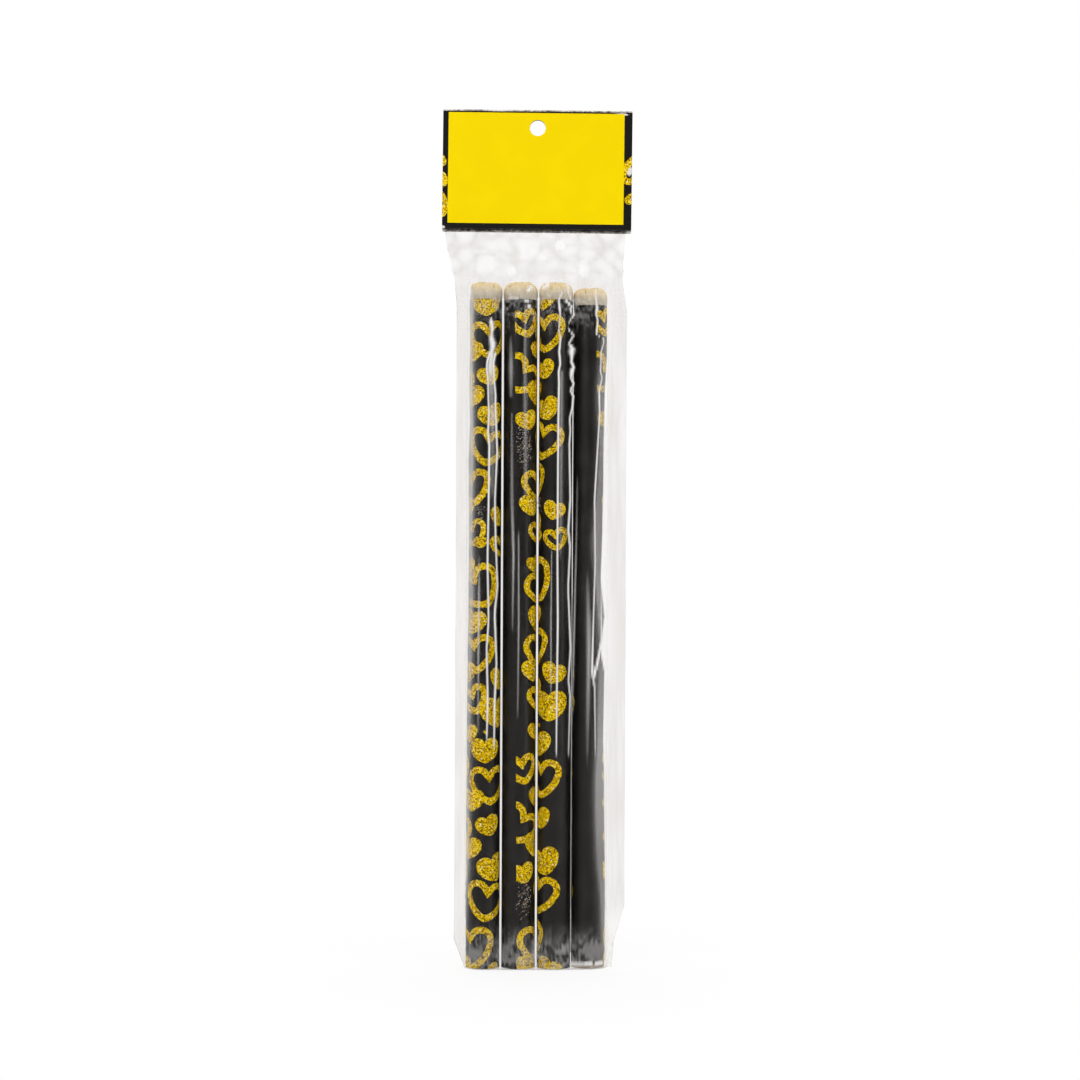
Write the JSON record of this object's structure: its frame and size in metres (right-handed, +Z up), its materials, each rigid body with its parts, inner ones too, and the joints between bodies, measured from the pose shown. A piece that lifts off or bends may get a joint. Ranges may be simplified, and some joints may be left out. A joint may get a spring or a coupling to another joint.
{
  "type": "cake fountain hang pack",
  "caption": "Slim paper-tube party fountains side by side in a clear film bag, closed by a folded header card with a round peg hole.",
  "frame": {"origin": "bottom centre of the pack's box, on the surface that the bag's foot stands on", "axes": "+Z up along the tubes to the header card; -Y out of the card's yellow panel; +X to the right of it"},
  "size_m": [0.083, 0.0205, 0.3756],
  "materials": {
    "wrap_paper": "gloss",
    "casing_board": "matte",
    "liner_board": "matte",
    "inert_charge": "matte",
    "plug_clay": "matte",
    "seal_paper": "matte",
    "clear_film": "gloss",
    "card_board": "gloss",
    "adhesive": "satin"
  },
  "bodies": {
    "bag_and_card": {"clear_bag": "clear_film", "header_card": "card_board", "adhesive_strip_front": "adhesive", "adhesive_strip_back": "adhesive"},
    "fountain_1": {"casing_tube_1": "casing_board", "liner_tube_1": "liner_board", "charge_core_1": "inert_charge", "base_plug_1": "plug_clay", "foot_plug_1": "liner_board", "sealing_paper_1": "seal_paper", "printed_wrap_1": "wrap_paper"},
    "fountain_2": {"casing_tube_2": "casing_board", "liner_tube_2": "liner_board", "charge_core_2": "inert_charge", "base_plug_2": "plug_clay", "foot_plug_2": "liner_board", "sealing_paper_2": "seal_paper", "printed_wrap_2": "wrap_paper"},
    "fountain_3": {"casing_tube_3": "casing_board", "liner_tube_3": "liner_board", "charge_core_3": "inert_charge", "base_plug_3": "plug_clay", "foot_plug_3": "liner_board", "sealing_paper_3": "seal_paper", "printed_wrap_3": "wrap_paper"},
    "fountain_4": {"casing_tube_4": "casing_board", "liner_tube_4": "liner_board", "charge_core_4": "inert_charge", "base_plug_4": "plug_clay", "foot_plug_4": "liner_board", "sealing_paper_4": "seal_paper", "printed_wrap_4": "wrap_paper"}
  },
  "joints": [
    {"name": "fountain_1_slide", "type": "slide", "parent": "bag_and_card", "child": "fountain_1", "axis": [0, 0, 1], "range_m": [0, 0.008]},
    {"name": "fountain_2_slide", "type": "slide", "parent": "bag_and_card", "child": "fountain_2", "axis": [0, 0, 1], "range_m": [0, 0.008]},
    {"name": "fountain_3_slide", "type": "slide", "parent": "bag_and_card", "child": "fountain_3", "axis": [0, 0, 1], "range_m": [0, 0.008]},
    {"name": "fountain_4_slide", "type": "slide", "parent": "bag_and_card", "child": "fountain_4", "axis": [0, 0, 1], "range_m": [0, 0.008]}
  ]
}
